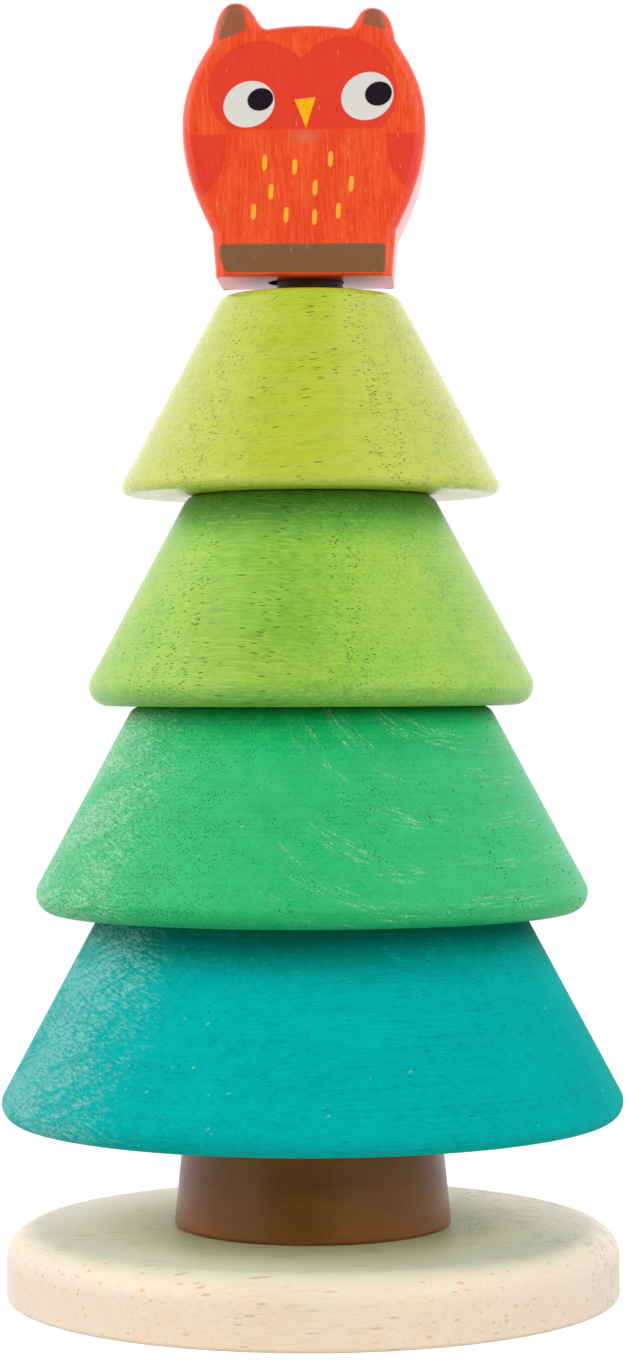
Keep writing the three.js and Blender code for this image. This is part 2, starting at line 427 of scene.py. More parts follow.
@dataclass(frozen=True)
class StainedWood:
    """A water stain on turned and sanded wood, under a thin clear coat."""

    name: str
    stain: str
    deep: str
    bright: str
    # the colour of the pale growth-ring streaks and nicks, and of the painted sheen on the front left
    pale: str
    warm: str
    pore: str
    # the deeper colour of the painted shade on the shoulder under the piece above, and on the lower rim
    painted_shade: str
    grain: Grain
    sheen: Sheen
    pores: float = 0.5  # the share of pores that stay open where they crowd
    strips: tuple[Pair, ...] = ()  # where they crowd: each strip's middle and half width, -1 to 1 across
    threads: float = 0.1  # the share of long dark threads
    fibres: float = 1.0  # how strongly the grain shows
    blush: float = 0.3  # how strongly the warmer blotches show
    years: float = 0.05  # how much paler the growth rings are
    arcs: float = 0.0  # how strongly the growth rings are rubbed pale
    painted_left_sheen: float = 0.0  # how strongly the painted sheen shows, as a pale patch on the front left
    nicks: float = 0.0  # the share of small pale nicks
    rim: float = 0.0  # how strongly the painted shade colour is laid on the lower rim too
    painted_shade_band: Pair | None = None  # the middle and half width of a deeper upright band of painted shade on the front, -1 to 1 across
    shade_band_strength: float = 0.2  # how strongly that painted shade shows
    shoulder: Pair = (12.5, 4.0)  # how far below the top the painted shade under the piece above starts and is full
    rim_edge: Pair = (4.5, 2.5)  # how far above the underside it does so on the rim
    relief_depth: float = 0.12

    def material(self, foot: float, top: float) -> Material:
        """Makes the stain's material.

        Args:
            foot: The height of the piece's underside, in millimetres.
            top: The height of its top, below which the shade of the piece above is painted on the shoulder.

        Returns:
            The material.
        """
        made = bpy.data.materials.new(self.name)
        recipe = Recipe(made)
        spot = self.grain.spot(recipe)
        fibre = recipe.noise(spot.wood, (8, 0.42, 0.42), 3, 0.62)
        cloud = recipe.noise(spot.wood, (26, 9, 9), 3, 0.55)
        mottle = recipe.noise(spot.upright, (2.4, 2.4, 1.8), 3, 0.62)
        turning = recipe.noise(spot.upright, (60, 60, 0.34), 2, 0.6)
        tint = Tint(recipe, self.stain)
        tint.lay(cloud.between(0.35, 0.72) * self.blush, self.warm)
        # Painted shade: a deeper upright band, laid on the front only.
        if self.painted_shade_band:
            band = (spot.side() + cloud.swing() * 0.3).near(*self.painted_shade_band)
            tint.lay(band * spot.back.between(5, -5) * self.shade_band_strength, self.deep)
        # Painted shade: the shoulder under the piece above, and the lower rim, are laid in a deeper colour.
        height = spot.height + mottle.swing() * 2.0
        on_rim = (height - foot).between(*self.rim_edge) * self.rim
        tint.lay((top - height).between(*self.shoulder).most(on_rim), self.painted_shade)
        nicks = recipe.specks(recipe.point((0, 35, 0)), (3.2, 3.2, 1.3), 0.16, self.nicks)
        # worn holds the wood's pale streaks and nicks together with the painted sheen on the front left.
        worn = self.arced(recipe, spot).most(self.painted_sheen(recipe, spot, fibre)).most(nicks * 0.6)
        tint.lay(worn, self.pale)
        shade = fibre.swing() * self.fibres + mottle.swing() * 0.6
        shade = shade + turning.swing() * 0.5 + cloud.swing() * 0.3
        tint.lay((shade * -1.5).most(0.0), self.deep)
        tint.lay((shade * 1.8).most(0.0), self.bright)
        flecks = recipe.specks(spot.wood, (3.2, 1.1, 1.1), 0.24, 0.16)
        tint.lay(flecks * 0.45, self.warm)
        pores = self.pored(recipe, spot)
        tint.lay(pores * 0.95, self.pore)
        mirroring, rough = self.sheen.value
        roughness = fibre.swing() * 0.2 + mottle.swing() * 0.14 + worn * 0.12 + pores * 0.4 + rough
        relief = fibre * 0.6 + turning * 0.25 + mottle * 0.4 + worn * 0.45 - pores * 0.02
        recipe.coated(tint, roughness, relief, self.relief_depth, Specular_IOR_Level=mirroring)
        return made

    def pored(self, recipe: Recipe, spot: Spot) -> Value:
        """The dark open pores and the few long threads between them.

        Args:
            recipe: The finish's node tree.
            spot: The point of the piece.

        Returns:
            1 in a pore and 0 elsewhere.
        """
        side = spot.side()
        strip = recipe.noise(spot.upright, (8, 8, 60), 2).between(0.5, 0.64) * 0.5
        for middle, half_width in self.strips:
            strip = strip.most(side.near(middle, half_width))
        crowd = (strip * 0.94 + 0.06) * self.pores
        short = recipe.specks(spot.wood, (3.4, 0.42, 0.42), 0.34, crowd)
        line = recipe.noise(spot.wood, (34, 2.0, 2.0), 1, 0.4).swing().size().between(0.009, 0.003)
        rarity = 0.72 - self.threads * 0.4
        kept = recipe.noise(spot.wood, (7, 2, 2), 1).between(rarity, rarity + 0.04)
        return short.most(line * kept * 0.7)

    def arced(self, recipe: Recipe, spot: Spot) -> Value:
        """Broken pale streaks that follow the growth rings.

        Args:
            recipe: The finish's node tree.
            spot: The point of the piece.

        Returns:
            The share of the pale colour.
        """
        band = self.grain.bands(recipe, spot.wood)
        soft = band.between(0.1, 1.0) * self.years
        if self.arcs == 0:
            return soft
        rolled = self.grain.rolled(recipe, spot.wood)
        streaks = recipe.noise(rolled, (5, 0.42, 9), 3, 0.7).between(0.5, 0.62)
        gathered = recipe.noise(rolled, (16, 4, 20), 2, 0.5).between(0.4, 0.58)
        crumbs = recipe.noise(spot.wood, (0.6, 0.4, 0.4), 2, 0.6).between(0.42, 0.58)
        kept = spot.right.between(-16, 6) * spot.back.between(10, -10)
        return soft.most(band.between(0.2, 0.8) * streaks * gathered * crumbs * kept * self.arcs)

    def painted_sheen(self, recipe: Recipe, spot: Spot, fibre: Value) -> Value:
        """Painted sheen: a finely hatched pale patch on the front left, crossed by slanting swipes.

        Args:
            recipe: The finish's node tree.
            spot: The point of the piece.
            fibre: The grain's fine fibres.

        Returns:
            The share of the pale colour.
        """
        patch = recipe.noise(recipe.point((0, 24, 0)), (17, 17, 8), 2, 0.5).between(0.3, 0.6)
        crowd = (spot.side() + patch.swing() * 0.2).between(-0.32, -0.95)
        crowd = crowd * spot.back.between(14, -14) * (patch * 0.7 + 0.3)
        hatched = recipe.noise(recipe.point((0, -16, 0)), (1.7, 1.7, 0.5), 3, 0.8)
        swipe = recipe.noise(recipe.point((0, 27, 0)), (26, 26, 1.5), 2, 0.5).between(0.54, 0.64)
        scratch = recipe.noise(recipe.point((0, -27, 0)), (24, 24, 0.7), 1, 0.4).between(0.62, 0.68)
        shown = (hatched + crowd * 0.22).between(0.5, 0.76) * crowd.between(0.0, 0.5)
        return shown * (1 - swipe.most(scratch) * 0.6) * (fibre.between(0.3, 0.52) * 0.4 + 0.6) * self.painted_left_sheen


@dataclass(frozen=True)
class BareWood:
    """Pale rubberwood, sanded and lightly sealed."""

    name: str = "base_wood"
    ground: str = "#eedcc2"
    warm: str = "#efd2ac"
    cool: str = "#e8e0cc"
    pore: str = "#dca263"
    scratch: str = "#8f9482"
    ends: str = "#e4d8cb"  # its duller left and right ends
    # painted light: the top is laid paler than the side
    top: str = "#f7e9cb"
    painted_light_by_trunk: str = "#fbe2a6"  # painted light: the top near the trunk, under the rings, laid paler and yellower
    grain: Grain = Grain(turn=4, lean=2, pith=(30, -70), seed=19)
    edge: Pair = (9.0, 13.5)  # the heights between which the side passes into the top
    relief_depth: float = 0.06

    def material(self) -> Material:
        """Makes the bare wood's material.

        Returns:
            The material.
        """
        made = bpy.data.materials.new(self.name)
        recipe = Recipe(made)
        spot = self.grain.spot(recipe)
        band = self.grain.bands(recipe, spot.wood)
        fibre = recipe.noise(spot.wood, (11, 0.45, 0.45), 3, 0.6)
        cloud = recipe.noise(spot.wood, (24, 12, 12), 3, 0.55)
        tint = Tint(recipe, self.ground)
        tint.lay(cloud.between(0.35, 0.7) * 0.6, self.warm)
        tint.lay(band.between(0.3, 1.0) * 0.2, self.cool)
        tint.lay((fibre.swing() * 1.6).most(0.0), self.pore)
        tint.lay((fibre.swing() * -1.6).most(0.0), self.cool)
        tint.lay(spot.right.size().between(16, 58) * 0.6, self.ends)
        # Painted light: the top is laid paler than the side, and paler and yellower still near the trunk.
        top = spot.height.between(*self.edge)
        tint.lay(top * 0.6, self.top)
        tint.lay(top * spot.reach.between(54, 34) * 0.7, self.painted_light_by_trunk)
        streaks = recipe.specks(spot.wood, (11, 1.2, 1.2), 0.27, cloud.between(0.38, 0.6) * 0.7 + 0.3)
        dots = recipe.specks(spot.wood, (4.4, 0.66, 0.66), 0.24, cloud.between(0.6, 0.4) * 0.14 + 0.03)
        tint.lay(streaks * 0.6, self.pore)
        tint.lay(dots * 0.3, self.pore)
        scratches = self.scratched(recipe, spot)
        tint.lay(scratches * 0.45, self.scratch)
        relief = fibre * 0.5 - dots * 0.6 - streaks * 0.3 - scratches * 0.4
        recipe.coated(tint, fibre.swing() * 0.15 + 0.5, relief, self.relief_depth, Specular_IOR_Level=0.8)
        return made

    def scratched(self, recipe: Recipe, spot: Spot) -> Value:
        """Fine curly scratches on the right of the piece."""
        curls = recipe.noise(spot.upright, (3.4, 3.4, 3.4), 2, 0.6).swing().size().between(0.03, 0.01)
        broken = recipe.noise(spot.upright, (7, 7, 7), 2).between(0.42, 0.58)
        return curls * broken * spot.right.between(14, 30) * spot.back.between(-34, -16)


@dataclass(frozen=True)
class BrownPaint:
    """Brown satin paint that lets a little of the wood's grain show."""

    name: str
    ground: str
    worn: str
    grain: Grain
    roughness: float = 0.32
    relief_depth: float = 0.03

    def material(self) -> Material:
        """Makes the paint's material.

        Returns:
            The material.
        """
        made = bpy.data.materials.new(self.name)
        recipe = Recipe(made)
        place = self.grain.place(recipe)
        fibre = recipe.noise(place, (10, 0.5, 0.5), 3, 0.6)
        cloud = recipe.noise(place, (16, 8, 8), 3, 0.5)
        turning = recipe.noise(recipe.point(), (60, 60, 0.4), 2, 0.5)
        rubbed = fibre.swing() * 0.4 + cloud.swing() * 1.2 + turning.swing() * 0.4
        pores = recipe.specks(place, (2.6, 0.7, 0.7), 0.24, 0.25)
        tint = Tint(recipe, self.ground)
        tint.lay((rubbed * 1.4 + 0.15).most(0.0), self.worn)
        tint.lay(pores * 0.4, self.worn)
        relief = fibre * 0.3 + turning * 0.3 - pores * 0.5
        roughness = cloud.swing() * 0.2 + self.roughness
        recipe.coated(tint, roughness, relief, self.relief_depth, Specular_IOR_Level=0.2)
        return made


@dataclass(frozen=True)
class PlatedSteel:
    """Zinc-plated steel with fine turning marks."""

    name: str = "screw_steel"
    bright: str = "#b4b6b8"
    dull: str = "#8b8c8a"
    roughness: float = 0.34
    relief_depth: float = 0.01

    def material(self) -> Material:
        """Makes the plating's material.

        Returns:
            The material.
        """
        made = bpy.data.materials.new(self.name)
        recipe = Recipe(made)
        blotch = recipe.noise(recipe.point(), (1.6, 1.6, 1.6), 3)
        marks = recipe.noise(recipe.point(), (8, 8, 0.12), 2)
        tint = Tint(recipe, self.bright)
        tint.lay(blotch.between(0.35, 0.65), self.dull)
        recipe.coated(tint, blotch.swing() * 0.25 + self.roughness, marks, self.relief_depth, Metallic=1.0)
        return made


class Shape:
    """A painted shape."""

    def cover(self, across: Value, up: Value, soft: float) -> Value:
        """Tells whether a point lies inside the shape.

        Args:
            across: How far to the right the point lies, in millimetres.
            up: How high it lies.
            soft: Half the width of the shape's soft edge.

        Returns:
            1 inside the shape and 0 outside it.
        """
        raise NotImplementedError


@dataclass(frozen=True)
class Ellipse(Shape):
    """A painted oval: its middle, its half lengths and its tilt, in millimetres and degrees."""

    across: float
    up: float
    half_length: float
    half_height: float
    tilt: float = 0.0

    def cover(self, across: Value, up: Value, soft: float) -> Value:
        """1 inside the oval and 0 outside it, with a soft edge."""
        turn = math.radians(self.tilt)
        aside = across - self.across
        above = up - self.up
        along = (aside * math.cos(turn) + above * math.sin(turn)) / self.half_length
        athwart = (above * math.cos(turn) - aside * math.sin(turn)) / self.half_height
        edge = soft / min(self.half_length, self.half_height)
        return along.hypot(athwart).between(1 + edge, 1 - edge)


@dataclass(frozen=True)
class Dash(Shape):
    """A short upright brush mark that narrows towards its ends."""

    across: float
    up: float
    half_width: float = 0.46
    half_height: float = 1.5
    lean: float = 0.05  # how far its top leans to the right, as a share of its height

    def cover(self, across: Value, up: Value, soft: float) -> Value:
        """1 inside the mark and 0 outside it, with a soft edge."""
        above = up - self.up
        aside = (across - self.across - above * self.lean) / self.half_width
        way = above * above / self.half_height ** 2
        edge = soft / self.half_width
        return aside.hypot(way).between(1 + edge, 1 - edge)


@dataclass(frozen=True)
class Patch(Shape):
    """A painted patch with straight sides that bulge nowhere inwards, its corners listed clockwise."""

    corners: tuple[Pair, ...]

    def cover(self, across: Value, up: Value, soft: float) -> Value:
        """1 inside the patch and 0 outside it, with a soft edge."""
        past = []
        for start, end in zip(self.corners, self.corners[1:] + self.corners[:1]):
            run, rise = end[0] - start[0], end[1] - start[1]
            length = math.hypot(run, rise)
            out_x, out_up = -rise / length, run / length
            past.append(across * out_x + up * out_up - (start[0] * out_x + start[1] * out_up))
        return reduce(Value.most, past).between(soft, -soft)


@dataclass(frozen=True)
class OwlPaint:
    """The owl's orange lacquer, with its face and feathers painted on the front."""

    name: str = "owl_lacquer"
    orange: str = "#ee4822"
    light_orange: str = "#f35828"
    deep_orange: str = "#dd3c22"
    red: str = "#e23a2d"
    streak: str = "#fbb093"
    white: str = "#dfdcd5"
    black: str = "#1e171d"
    yellow: str = "#f7b512"
    tick_yellow: str = "#fbb236"
    brown: str = "#785d3c"
    ear_brown: str = "#895f45"
    smudge: str = "#b98a74"
    soft: float = 0.1  # half the width of a shape's soft edge
    smudge_soft: float = 0.9
    face_edge: Pair = (2.4, 1.6)  # how far behind the front the face's paint starts and is full
    wing_edge: Pair = (0.9, 0.2)  # the same for the wings
    coat_roughness: float = 0.16
    relief_depth: float = 0.04
    paint_drop: float = 0.35  # how far the whole painting sits below its drawn place
    eyes: tuple[Ellipse, ...] = (
        Ellipse(-10.5, 33.5, 5.05, 4.35, 25),
        Ellipse(12.35, 34.85, 5.15, 4.5, 25),
    )
    pupils: tuple[Ellipse, ...] = (
        Ellipse(-8.3, 34.4, 2.55, 2.15, 20),
        Ellipse(14.5, 35.3, 2.65, 2.3, 20),
    )
    beak: Patch = Patch(((-1.7, 34.3), (2.4, 34.75), (0.5, 28.9)))
    beak_smudge: Ellipse = Ellipse(0.5, 27.2, 2.2, 1.1)
    ticks: tuple[Pair, ...] = (
        (-7.5, 22.2), (-1.7, 21.4), (5.2, 22.8),
        (-6.3, 16.6), (2.2, 17.3), (9.2, 18.0),
        (-9.7, 12.7), (-3.4, 12.1), (2.1, 11.6), (6.7, 12.8),
    )
    band: Patch = Patch((
        (-16.5, 4.6), (-16.4, 6.0), (-15.8, 6.5), (15.3, 6.5),
        (15.8, 5.9), (15.7, 0.9), (-14.6, 1.1), (-15.4, 1.7),
    ))
    brows: tuple[Ellipse, ...] = (
        Ellipse(-8.3, 36.2, 10.1, 9.5),
        Ellipse(7.9, 36.0, 10.2, 10.4),
    )
    cheeks: Patch = Patch(((-9.0, 37.6), (9.0, 37.6), (9.0, 20.0), (-9.0, 20.0)))
    mask_foot: float = 28.6
    wings: tuple[Ellipse, ...] = (
        Ellipse(-22.5, 26.0, 7.5, 11.0),
        Ellipse(23.0, 26.5, 7.0, 10.5),
    )
    wing_top: float = 27.7
    ear_patches: tuple[Patch, ...] = (
        Patch(((-16.6, 45.8), (-16.2, 49.0), (-14.6, 52.7), (-12.5, 52.9), (-11.2, 51.6), (-11.1, 47.7))),
        Patch(((11.3, 48.9), (11.9, 51.0), (13.4, 52.1), (15.1, 51.6), (16.0, 47.6))),
    )

    def material(self, middle: float, foot: float, front: float) -> Material:
        """Makes the painted lacquer.

        Args:
            middle: How far the owl's middle lies to the right, in millimetres.
            foot: The height of its underside.
            front: How far its painted face lies along Y.

        Returns:
            The material.
        """
        made = bpy.data.materials.new(self.name)
        recipe = Recipe(made)
        across, depth, up = recipe.axes(recipe.point(shift=(-middle, 0, self.paint_drop - foot)))
        behind = depth - front
        facing = behind.between(*self.face_edge)
        flat = behind.between(*self.wing_edge)

        def painted(*shapes: Shape) -> Value:
            """1 inside any of the shapes and 0 outside them all."""
            return reduce(Value.most, (shape.cover(across, up, self.soft) for shape in shapes))

        place = recipe.point((0, 1.5, 0))
        fibre = recipe.noise(place, (0.34, 0.34, 5), 3, 0.65)
        cloud = recipe.noise(place, (4.5, 4.5, 11), 3, 0.6)
        fleck = recipe.noise(place, (0.7, 0.7, 1.2), 3, 0.6)
        lines = recipe.specks(place, (0.55, 0.55, 9), 0.13, cloud.between(0.35, 0.6) * 0.8 + 0.3)
        tint = Tint(recipe, self.orange)
        tint.lay(cloud.between(0.35, 0.68), self.light_orange)
        tint.lay((fibre.swing() * 2.2 + fleck.swing() * 2.4).most(0.0), self.deep_orange)
        tint.lay(((0.48 - fibre) * 0.8).most(0.0), self.streak)
        over_foot = up.between(self.mask_foot - self.soft, self.mask_foot + self.soft)
        mask = painted(*self.brows, self.cheeks) * over_foot * facing
        under_top = up.between(self.wing_top + self.soft, self.wing_top - self.soft)
        wings = painted(*self.wings) * under_top * flat
        worn = 0.93 - fleck.swing().size() * 1.2
        tint.lay(mask.most(wings) * worn * 0.9, self.red)
        tint.lay(painted(self.band) * facing * 0.96, self.brown)
        tint.lay(painted(*self.ear_patches) * facing * worn, self.ear_brown)
        tint.lay(self.beak_smudge.cover(across, up, self.smudge_soft) * facing * 0.3, self.smudge)
        tint.lay(lines * 0.75, self.streak)
        tint.lay(painted(*(Dash(*tick) for tick in self.ticks)) * facing, self.tick_yellow)
        tint.lay(painted(*self.eyes) * facing, self.white)
        tint.lay(painted(*self.pupils) * facing, self.black)
        tint.lay(painted(self.beak) * facing, self.yellow)
        recipe.coated(
            tint,
            roughness=fleck.swing() * 0.15 + 0.34,
            relief=fibre * 0.5 + fleck * 0.25 - lines * 0.5,
            relief_depth=self.relief_depth,
            Specular_IOR_Level=0.2,
            Coat_Weight=up.between(self.paint_drop + 0.1, self.paint_drop + 1.0) * 0.2 + 0.1,
            Coat_Roughness=self.coat_roughness,
        )
        return made


@dataclass(frozen=True)
class Corner:
    """A corner of a turned outline: how far out and how high it is, and its round, in millimetres."""

    out: float
    up: float
    round: float = 0.0


@dataclass(frozen=True)
class Lathe:
    """Turns an outline about the upright axis."""

    steps: int = 192
    arc_step: float = 8.0  # the turn of each flat in a round edge, in degrees

    def turn(self, corners: list[Corner], closed: bool) -> BMesh:
        """Turns an outline into a closed body.

        Args:
            corners: The outline's corners, in order.
            closed: Whether the last corner joins the first. Otherwise both lie on the axis.

        Returns:
            The body, in millimetres.
        """
        body = bmesh.new()
        ends = [self.corner(body, corners, index, closed) for index in range(len(corners))]
        following = ends[1:] + ends[:1] if closed else ends[1:]
        for (_, last), (first, _) in zip(ends, following):
            body.edges.new((last, first))
        bmesh.ops.spin(
            body, geom=body.verts[:] + body.edges[:], cent=(0, 0, 0), axis=(0, 0, 1),
            angle=2 * math.pi, steps=self.steps, use_merge=True,
        )
        bmesh.ops.remove_doubles(body, verts=body.verts, dist=MM)
        bmesh.ops.recalc_face_normals(body, faces=body.faces)
        return body

    def corner(
        self, body: BMesh, corners: list[Corner], index: int, closed: bool
    ) -> tuple[BMVert, BMVert]:
        """Adds one corner of the outline, as a round that touches both its sides.

        Args:
            body: The body that is being outlined.
            corners: All the corners.
            index: The corner's place among them.
            closed: Whether the outline is closed.

        Returns:
            The first and the last vertex of the corner.
        """
        here = corners[index]
        tip = Vector((here.out, 0, here.up))
        if here.round == 0 or (not closed and index in (0, len(corners) - 1)):
            vertex = body.verts.new(tip)
            return vertex, vertex
        before, after = corners[index - 1], corners[(index + 1) % len(corners)]
        back = (Vector((before.out, 0, before.up)) - tip).normalized()
        ahead = (Vector((after.out, 0, after.up)) - tip).normalized()
        half = back.angle(ahead) / 2
        touch = here.round / math.tan(half)
        centre = tip + (back + ahead).normalized() * here.round / math.sin(half)
        turning = math.pi - 2 * half
        side = -1 if back.cross(ahead).y > 0 else 1
        first = body.verts.new(tip + back * touch)
        spun = bmesh.ops.spin(
            body, geom=[first], cent=centre, axis=(0, side, 0), angle=turning,
            steps=max(3, round(math.degrees(turning) / self.arc_step)),
        )
        last, = only(BMVert, spun["geom_last"])
        return first, last


def only(kind: type, elements: list[Any]) -> list[Any]:
    """The elements of one kind among those that an operator made."""
    return [element for element in elements if isinstance(element, kind)]


def underside(body: BMesh) -> list[BMFace]:
    """The faces that look straight down."""
    return [face for face in body.faces if face.normal.z < -0.99]


def sink(
    body: BMesh, under: list[BMFace], outline: list[BMEdge], depth: float
) -> None:
    """Sinks a recess into a flat underside.

    Args:
        body: The body.
        under: The faces of its underside, which are filled anew round the recess.
        outline: The recess's closed outline, in the plane of the underside.
        depth: How far up the recess goes.
    """
    rim = [e for e in body.edges if sum(f in under for f in e.link_faces) == 1]
    bmesh.ops.delete(body, geom=under, context="FACES")
    bmesh.ops.triangle_fill(body, use_beauty=True, edges=rim + outline, normal=(0, 0, -1))
    grown = bmesh.ops.extrude_edge_only(body, edges=outline)["geom"]
    bmesh.ops.translate(body, vec=(0, 0, depth), verts=only(BMVert, grown))
    bmesh.ops.contextual_create(body, geom=only(BMEdge, grown))
    bmesh.ops.recalc_face_normals(body, faces=body.faces)


class Workshop:
    """Turns finished bodies into pieces of the scene."""

    sharp_angle: float = math.radians(34)

    def deliver(
        self,
        body: BMesh,
        name: str,
        node: str,
        rides_on: str,
        material: Material,
    ) -> None:
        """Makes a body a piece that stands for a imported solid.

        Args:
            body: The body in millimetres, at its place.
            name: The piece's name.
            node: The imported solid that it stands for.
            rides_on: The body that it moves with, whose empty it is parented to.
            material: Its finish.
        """
        bmesh.ops.scale(body, vec=(MM, MM, MM), verts=body.verts)
        mesh = bpy.data.meshes.new(name)
        body.to_mesh(mesh)
        body.free()
        mesh.shade_smooth()
        mesh.set_sharp_from_angle(angle=self.sharp_angle)
        mesh.materials.append(material)
        piece = bpy.data.objects.new(name, mesh)
        bpy.context.scene.collection.objects.link(piece)
        even = piece.modifiers.new("even_shading", "WEIGHTED_NORMAL")
        even.keep_sharp = True
        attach(piece, rides_on)
        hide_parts(node)
        log.info("%s: %d faces", name, len(mesh.polygons))


def span(node: str) -> tuple[Vector, Vector]:
    """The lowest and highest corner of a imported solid, in millimetres."""
    low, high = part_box(node)
    return low / MM, high / MM


@dataclass
class Stand:
    """The base disc, the trunk, the peg and the screw that holds them together."""

    base_top_round: float = 6.0
    base_bottom_round: float = 1.0
    trunk_top_radius: float = 25.1
    trunk_round: float = 0.8
    glue_gap: float = 0.3
    peg_tip_round: float = 2.5
    peg_foot_chamfer: float = 0.7
    screw_shank_radius: float = 2.0
    screw_head_rim: float = 0.4
    screw_head_taper: float = 1.9
    screw_point: float = 4.0
    pilot_spare: float = 3.0
    slot_reach: float = 2.1
    slot_width: float = 0.9
    slot_depth: float = 1.5
    lathe: Lathe = field(default_factory=Lathe)
    slim_lathe: Lathe = field(default_factory=lambda: Lathe(steps=96))

    def build(self, workshop: Workshop) -> None:
        """Builds the stand's four pieces.

        Args:
            workshop: What delivers the pieces.
        """
        brown = BrownPaint("trunk_paint", "#87511e", "#a0652f", Grain(turn=12, seed=37))
        peg_brown = BrownPaint("peg_paint", "#4c3320", "#6a4a30", Grain(lean=90, seed=51), roughness=0.4)
        for body, name, node, slot, finish in (
            (self.base(), "base_disc_turned", "base_disc", "base_wood", BareWood()),
            (self.trunk(), "trunk_turned", "trunk_block", "trunk_paint", brown),
            (self.peg(), "peg_turned", "centre_peg", "peg_paint", peg_brown),
            (self.screw(), "screw_cut", "peg_screw", "screw_steel", PlatedSteel()),
        ):
            workshop.deliver(body, name, node, "stand", finish.material())

    def base(self) -> BMesh:
        """The base disc, with a seat for the peg and a countersunk hole for the screw.

        Returns:
            The body, in millimetres.
        """
        low, high = span("base_disc")
        peg_low, peg_high = span("centre_peg")
        screw_low, screw_high = span("peg_screw")
        seat = peg_high.x + self.glue_gap
        hole = self.screw_shank_radius + self.glue_gap
        mouth = screw_high.x + self.glue_gap
        rim = screw_low.z + self.screw_head_rim
        return self.lathe.turn([
            Corner(mouth, low.z),
            Corner(high.x, low.z, self.base_bottom_round),
            Corner(high.x, high.z, self.base_top_round),
            Corner(seat, high.z),
            Corner(seat, peg_low.z),
            Corner(hole, peg_low.z),
            Corner(hole, rim + self.screw_head_taper + self.glue_gap),
            Corner(mouth, rim),
        ], closed=True)

    def trunk(self) -> BMesh:
        """The trunk, a little narrower at its top and bored for the peg.

        Returns:
            The body, in millimetres.
        """
        low, high = span("trunk_block")
        bore = span("centre_peg")[1].x + self.glue_gap
        return self.lathe.turn([
            Corner(bore, low.z),
            Corner(high.x, low.z, self.trunk_round),
            Corner(self.trunk_top_radius, high.z, self.trunk_round),
            Corner(bore, high.z),
        ], closed=True)

    def peg(self) -> BMesh:
        """The peg, drilled from below for the screw.

        Returns:
            The body, in millimetres.
        """
        low, high = span("centre_peg")
        pilot = self.screw_shank_radius + self.glue_gap
        pilot_top = span("peg_screw")[1].z + self.pilot_spare
        return self.slim_lathe.turn([
            Corner(0, pilot_top),
            Corner(pilot, pilot_top - pilot),
            Corner(pilot, low.z),
            Corner(high.x - self.peg_foot_chamfer, low.z),
            Corner(high.x, low.z + self.peg_foot_chamfer),
            Corner(high.x, high.z, self.peg_tip_round),
            Corner(0, high.z),
        ], closed=False)

    def screw(self) -> BMesh:
        """The screw, with a cross recess pressed in its head.

        Returns:
            The body, in millimetres.
        """
        low, high = span("peg_screw")
        foot = low.z + self.screw_head_rim
        body = self.slim_lathe.turn([
            Corner(0, low.z),
            Corner(high.x, low.z),
            Corner(high.x, foot),
            Corner(self.screw_shank_radius, foot + self.screw_head_taper),
            Corner(self.screw_shank_radius, high.z - self.screw_point),
            Corner(0, high.z),
        ], closed=False)
        half, reach = self.slot_width / 2, self.slot_reach
        arm = [(half, half), (reach, half), (reach, -half)]
        turns = [Matrix.Rotation(-quarter * FULL_TURN / 4, 2) for quarter in range(4)]
        cross = [body.verts.new((*(turn @ Vector(p)), low.z)) for turn in turns for p in arm]
        outline = [body.edges.new(pair) for pair in zip(cross, cross[1:] + cross[:1])]
        sink(body, underside(body), outline, self.slot_depth)
        return body


@dataclass
class Ring:
    """One turned ring of the tree: a bored cone with a rounded rim and a softer shoulder."""

    node: str
    body: str
    slot: str
    rim_round: float
    finish: StainedWood
    slope: float = 28.25  # degrees from upright
    shoulder_round: float = 2.9
    bore_radius: float = 7.8
    bore_round: float = 1.0
    seat_gap: float = 0.02  # keeps its top off the piece that rests on it
    lathe: Lathe = field(default_factory=Lathe)

    def build(self, workshop: Workshop) -> None:
        """Builds the ring.

        Args:
            workshop: What delivers the pieces.
        """
        workshop.deliver(
            self.turned(), f"{self.node}_turned", self.node, self.body,
            self.finish.material(*(corner.z for corner in span(self.node))),
        )

    def turned(self) -> BMesh:
        """The ring's body.

        Returns:
            The body, in millimetres.
        """
        low, high = span(self.node)
        slope = math.radians(self.slope)
        sharp = high.x + self.rim_round * ((1 + math.sin(slope)) / math.cos(slope) - 1)
        top = sharp - (high.z - low.z) * math.tan(slope)
        return self.lathe.turn([
            Corner(self.bore_radius, low.z, self.bore_round),
            Corner(sharp, low.z, self.rim_round),
            Corner(top, high.z - self.seat_gap, self.shoulder_round),
            Corner(self.bore_radius, high.z - self.seat_gap, self.bore_round),
        ], closed=True)


@dataclass(frozen=True)
class Ear:
    """One ear of the owl, out from its middle: its root, its tip and how far its outer side bulges."""

    root: float
    tip: float
    tip_height: float
    bulge_share: float


